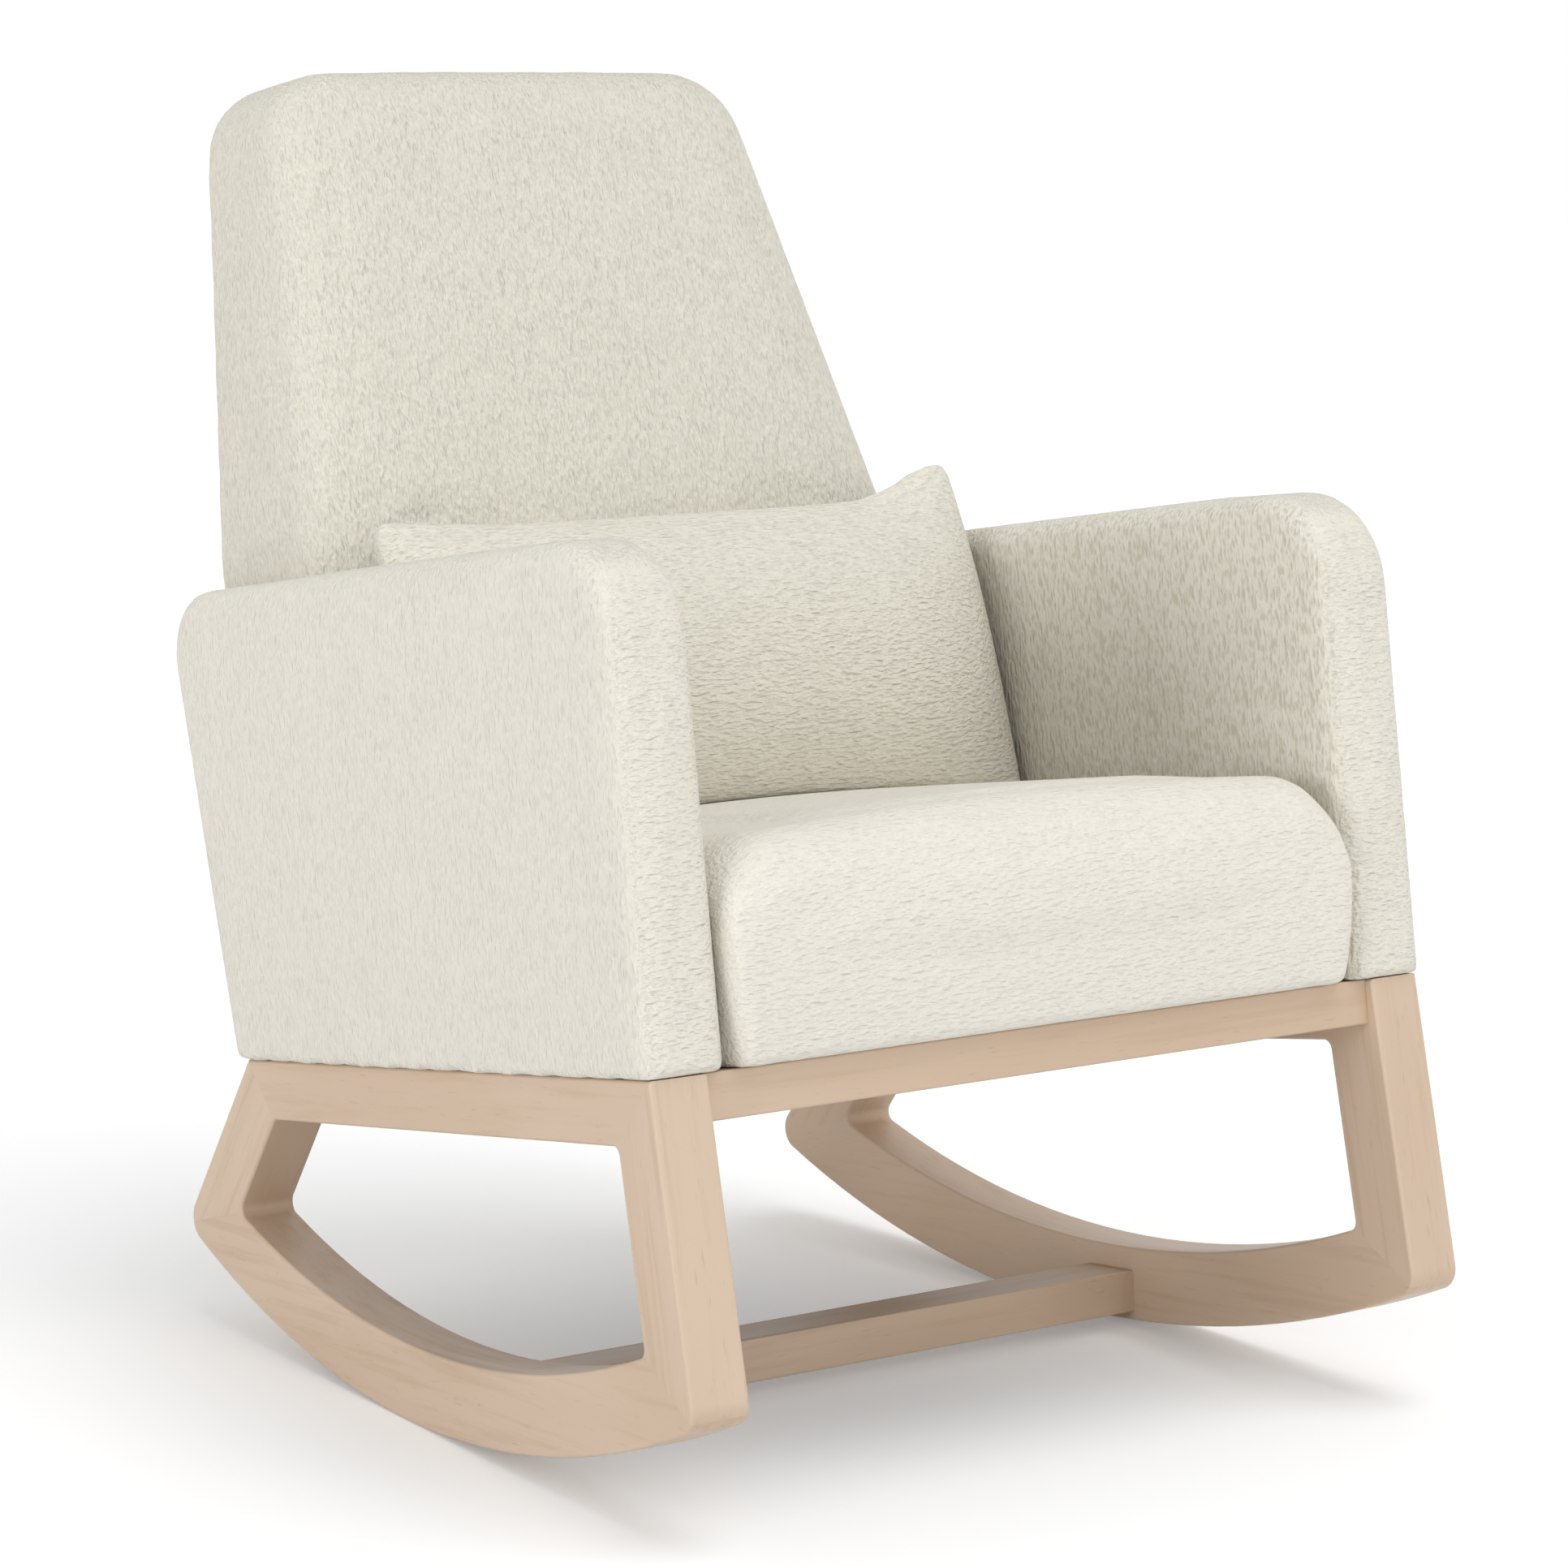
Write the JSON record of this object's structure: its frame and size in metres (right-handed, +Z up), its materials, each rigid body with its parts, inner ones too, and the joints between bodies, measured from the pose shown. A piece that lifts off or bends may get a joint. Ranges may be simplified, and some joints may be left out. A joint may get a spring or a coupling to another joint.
{
  "type": "upholstered rocking chair",
  "caption": "Upholstered rocking chair with padded arms, tapered reclined back and loose lumbar pillow, on maple side frames whose curved runners rock on the floor.",
  "frame": {"origin": "on the floor, in the middle of the line where the two rockers touch it while the empty chair is at rest", "axes": "+X to the right as seen from the front, -Y to the front, +Z up"},
  "size_m": [0.7122, 0.9275, 1.011],
  "materials": {
    "maple": "clear satin lacquer on pale maple",
    "plywood": "unfinished, hidden in the upholstery",
    "boucle": "cream short-pile boucle",
    "padding": "foam and wadding, hidden by the cover",
    "webbing": "woven elastic straps",
    "dust_cloth": "thin black non-woven cloth",
    "zinc_steel": "zinc plated"
  },
  "bodies": {
    "chair": {"arm_bolts": "zinc_steel", "arm_cover_left": "boucle", "arm_cover_right": "boucle", "arm_foam_left": "padding", "arm_foam_right": "padding", "arm_frame_left": "plywood", "arm_frame_right": "plywood", "back_bolts": "zinc_steel", "back_bottom_rail": "plywood", "back_cover": "boucle", "back_foam": "padding", "back_post_left": "plywood", "back_post_right": "plywood", "back_top_rail": "plywood", "back_webbing": "webbing", "corner_blocks": "plywood", "dust_cover": "dust_cloth", "frame_dowels_left": "maple", "frame_dowels_right": "maple", "front_leg_left": "maple", "front_leg_right": "maple", "front_rail": "maple", "middle_rail": "maple", "rail_dowels": "maple", "rear_leg_left": "maple", "rear_leg_right": "maple", "rear_rail": "maple", "runner_left": "maple", "runner_right": "maple", "seat_bolts": "zinc_steel", "seat_cover": "boucle", "seat_deck": "plywood", "seat_foam": "padding", "seat_frame_front": "plywood", "seat_frame_left": "plywood", "seat_frame_rear": "plywood", "seat_frame_right": "plywood", "side_rail_left": "maple", "side_rail_right": "maple", "stretcher": "maple", "stretcher_dowels": "maple"},
    "pillow": {"pillow_cover": "boucle", "pillow_fill": "padding"}
  },
  "joints": [
    {"name": "pillow_lift", "type": "slide", "parent": "chair", "child": "pillow", "axis": [0, -0.6599, 0.7514], "range_m": [0, 0.35]}
  ]
}
